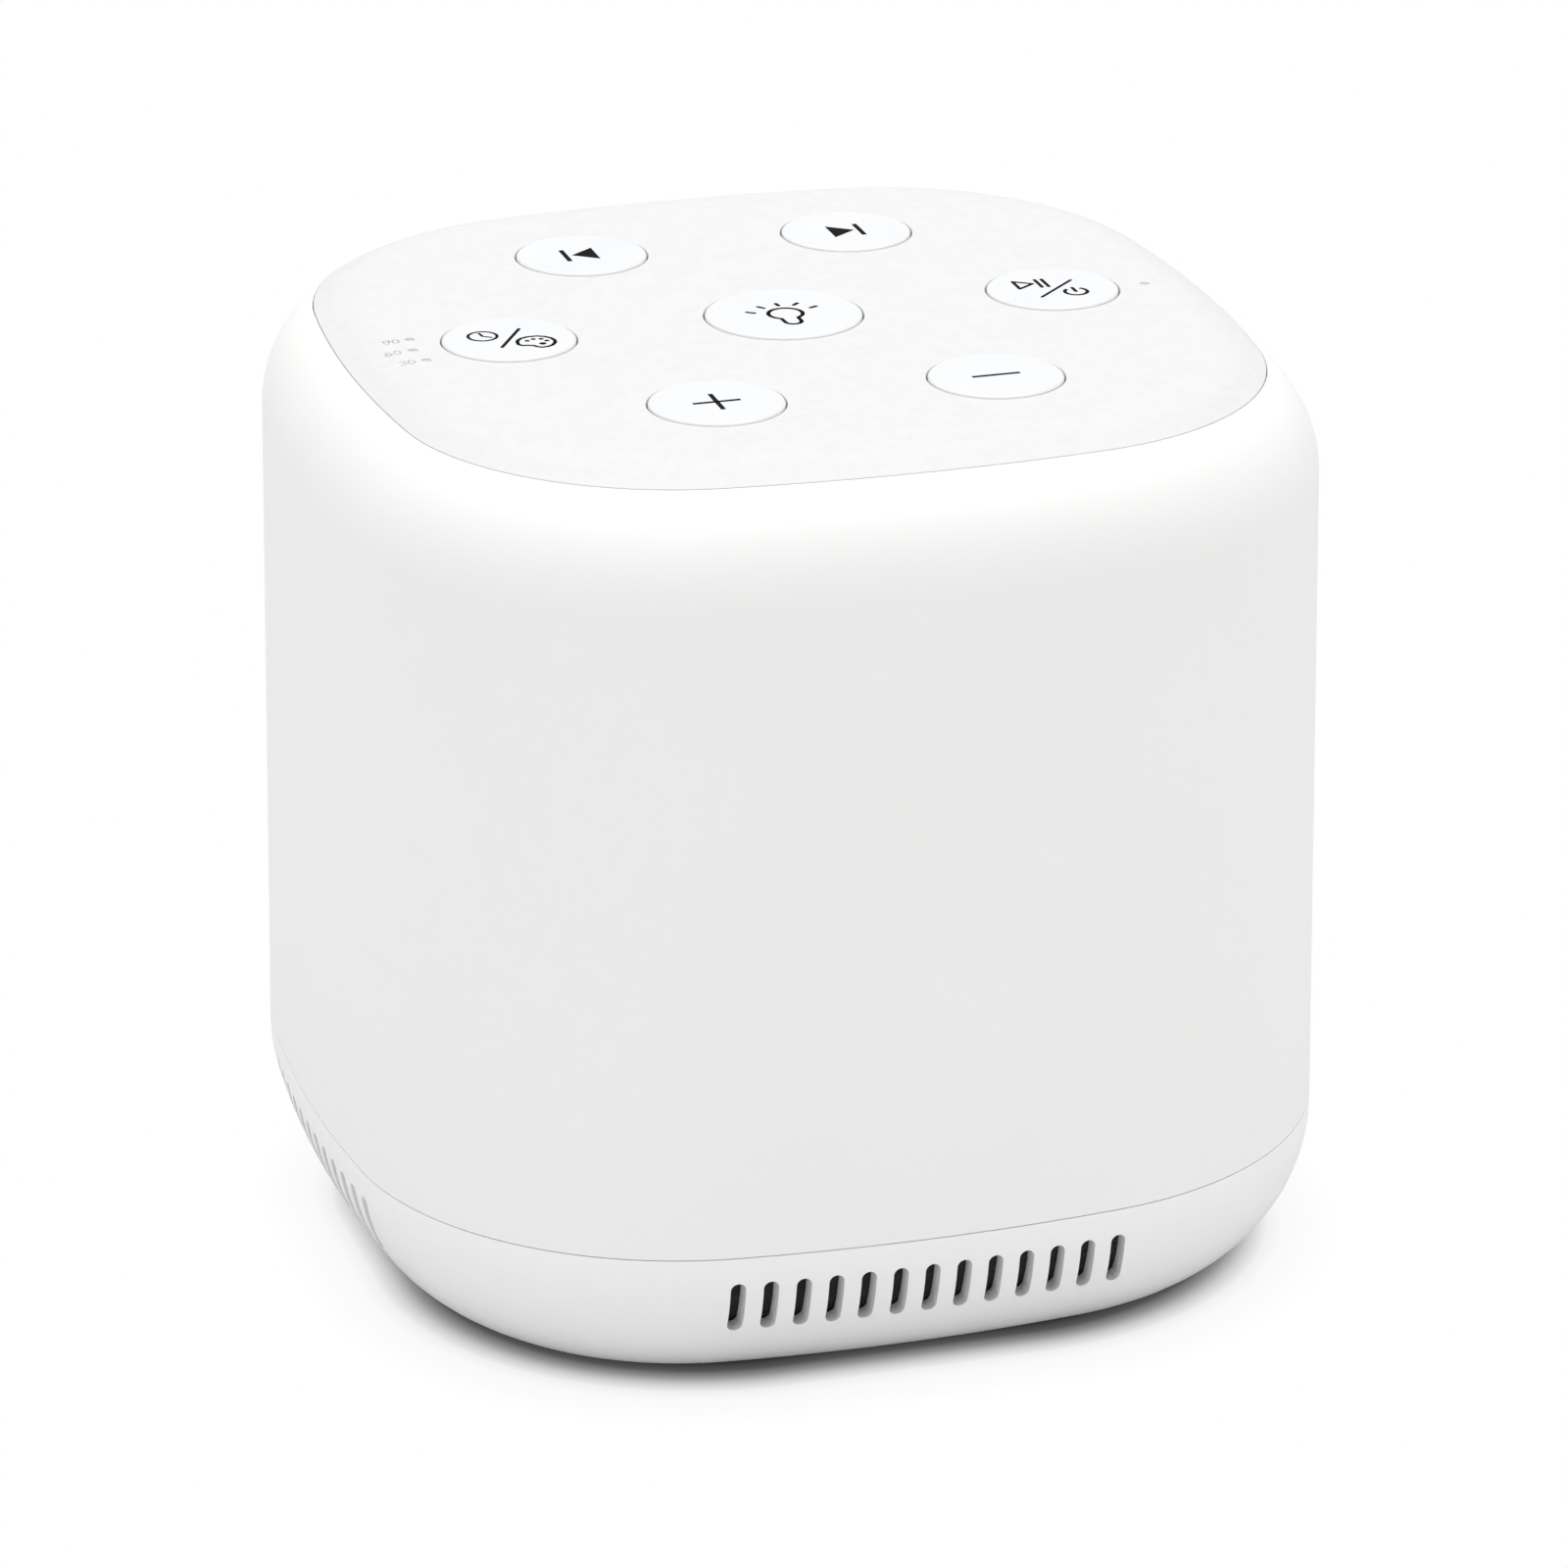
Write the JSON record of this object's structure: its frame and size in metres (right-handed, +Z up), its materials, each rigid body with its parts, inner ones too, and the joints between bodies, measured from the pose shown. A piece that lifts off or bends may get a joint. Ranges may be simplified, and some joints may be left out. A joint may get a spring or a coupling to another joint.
{
  "type": "white noise sound machine",
  "caption": "Rounded-cube bedside sound machine with a translucent night-light shade, flush push buttons on top and a vented base.",
  "frame": {"origin": "on the table, under the middle of the four rubber feet", "axes": "+Z up; -Y is the front, with the middle row of vents; +Y is the back, with the power inlet"},
  "size_m": [0.1, 0.1, 0.0957],
  "materials": {
    "shade_plastic": "satin translucent white",
    "panel_plastic": "fine satin texture",
    "base_plastic": "smooth semi-gloss white",
    "button_plastic": "smooth white",
    "inner_plastic": "plain moulded white",
    "foot_rubber": "matt",
    "gauze_cloth": "fine dark weave",
    "clear_plastic": "clear acrylic",
    "circuit_board": "solder mask",
    "connector_plastic": "moulded nylon",
    "switch_plastic": "moulded",
    "plated_steel": "nickel plated",
    "gold_pins": "plated",
    "led_white": "white package",
    "chip_black": "moulded epoxy",
    "cable_grey": "vinyl",
    "wire_red": "vinyl",
    "gasket_foam": "closed cell foam",
    "magnet_ferrite": "sintered ferrite",
    "cone_paper": "pressed paper",
    "former_film": "film",
    "coil_copper": "enamelled wire",
    "surround_rubber": "matt",
    "spider_cloth": "varnished cloth",
    "screw_steel": "zinc plated"
  },
  "bodies": {
    "machine": {"base_housing": "base_plastic", "board_headers": "connector_plastic", "button_board": "circuit_board", "button_board_screws": "screw_steel", "column": "inner_plastic", "column_screws": "screw_steel", "controller_chips": "chip_black", "deck": "inner_plastic", "diffuser_shade": "shade_plastic", "housing_screws": "screw_steel", "indicator_leds": "led_white", "inlet_shell": "plated_steel", "inlet_tongue": "switch_plastic", "light_board": "circuit_board", "light_board_pins": "gold_pins", "light_board_screws": "screw_steel", "night_light_leds": "led_white", "panel_screws": "screw_steel", "pole_plate": "plated_steel", "power_board": "circuit_board", "power_board_screws": "screw_steel", "power_components": "chip_black", "power_light_pipe": "clear_plastic", "ribbon_cable": "cable_grey", "rubber_feet": "foot_rubber", "speaker_basket": "plated_steel", "speaker_gasket": "gasket_foam", "speaker_magnet": "magnet_ferrite", "speaker_screws": "screw_steel", "speaker_terminals": "circuit_board", "speaker_wires": "wire_red", "spider": "spider_cloth", "surround": "surround_rubber", "switch_bodies": "switch_plastic", "timer_light_pipe": "clear_plastic", "top_panel": "panel_plastic", "vent_gauze": "gauze_cloth", "yoke": "plated_steel"},
    "power_key": {"power_button": "button_plastic", "power_plunger": "switch_plastic"},
    "next_key": {"next_button": "button_plastic", "next_plunger": "switch_plastic"},
    "previous_key": {"previous_button": "button_plastic", "previous_plunger": "switch_plastic"},
    "timer_key": {"timer_button": "button_plastic", "timer_plunger": "switch_plastic"},
    "volume_up_key": {"volume_up_button": "button_plastic", "volume_up_plunger": "switch_plastic"},
    "volume_down_key": {"volume_down_button": "button_plastic", "volume_down_plunger": "switch_plastic"},
    "light_key": {"light_button": "button_plastic", "light_plunger": "switch_plastic"},
    "cone_body": {"speaker_cone": "cone_paper", "dust_cap": "cone_paper", "voice_coil_former": "former_film", "voice_coil": "coil_copper"}
  },
  "joints": [
    {"name": "power_press", "type": "slide", "parent": "machine", "child": "power_key", "axis": [0, 0, 1], "range_m": [-0.0005, 0], "stiffness_N_per_m": 400, "springref_m": 0.001},
    {"name": "next_press", "type": "slide", "parent": "machine", "child": "next_key", "axis": [0, 0, 1], "range_m": [-0.0005, 0], "stiffness_N_per_m": 400, "springref_m": 0.001},
    {"name": "previous_press", "type": "slide", "parent": "machine", "child": "previous_key", "axis": [0, 0, 1], "range_m": [-0.0005, 0], "stiffness_N_per_m": 400, "springref_m": 0.001},
    {"name": "timer_press", "type": "slide", "parent": "machine", "child": "timer_key", "axis": [0, 0, 1], "range_m": [-0.0005, 0], "stiffness_N_per_m": 400, "springref_m": 0.001},
    {"name": "volume_up_press", "type": "slide", "parent": "machine", "child": "volume_up_key", "axis": [0, 0, 1], "range_m": [-0.0005, 0], "stiffness_N_per_m": 400, "springref_m": 0.001},
    {"name": "volume_down_press", "type": "slide", "parent": "machine", "child": "volume_down_key", "axis": [0, 0, 1], "range_m": [-0.0005, 0], "stiffness_N_per_m": 400, "springref_m": 0.001},
    {"name": "light_press", "type": "slide", "parent": "machine", "child": "light_key", "axis": [0, 0, 1], "range_m": [-0.0005, 0], "stiffness_N_per_m": 400, "springref_m": 0.001},
    {"name": "cone_stroke", "type": "slide", "parent": "machine", "child": "cone_body", "axis": [0, 0, 1], "range_m": [-0.0005, 0.0005], "stiffness_N_per_m": 1200, "deforming": ["surround", "spider"]}
  ]
}
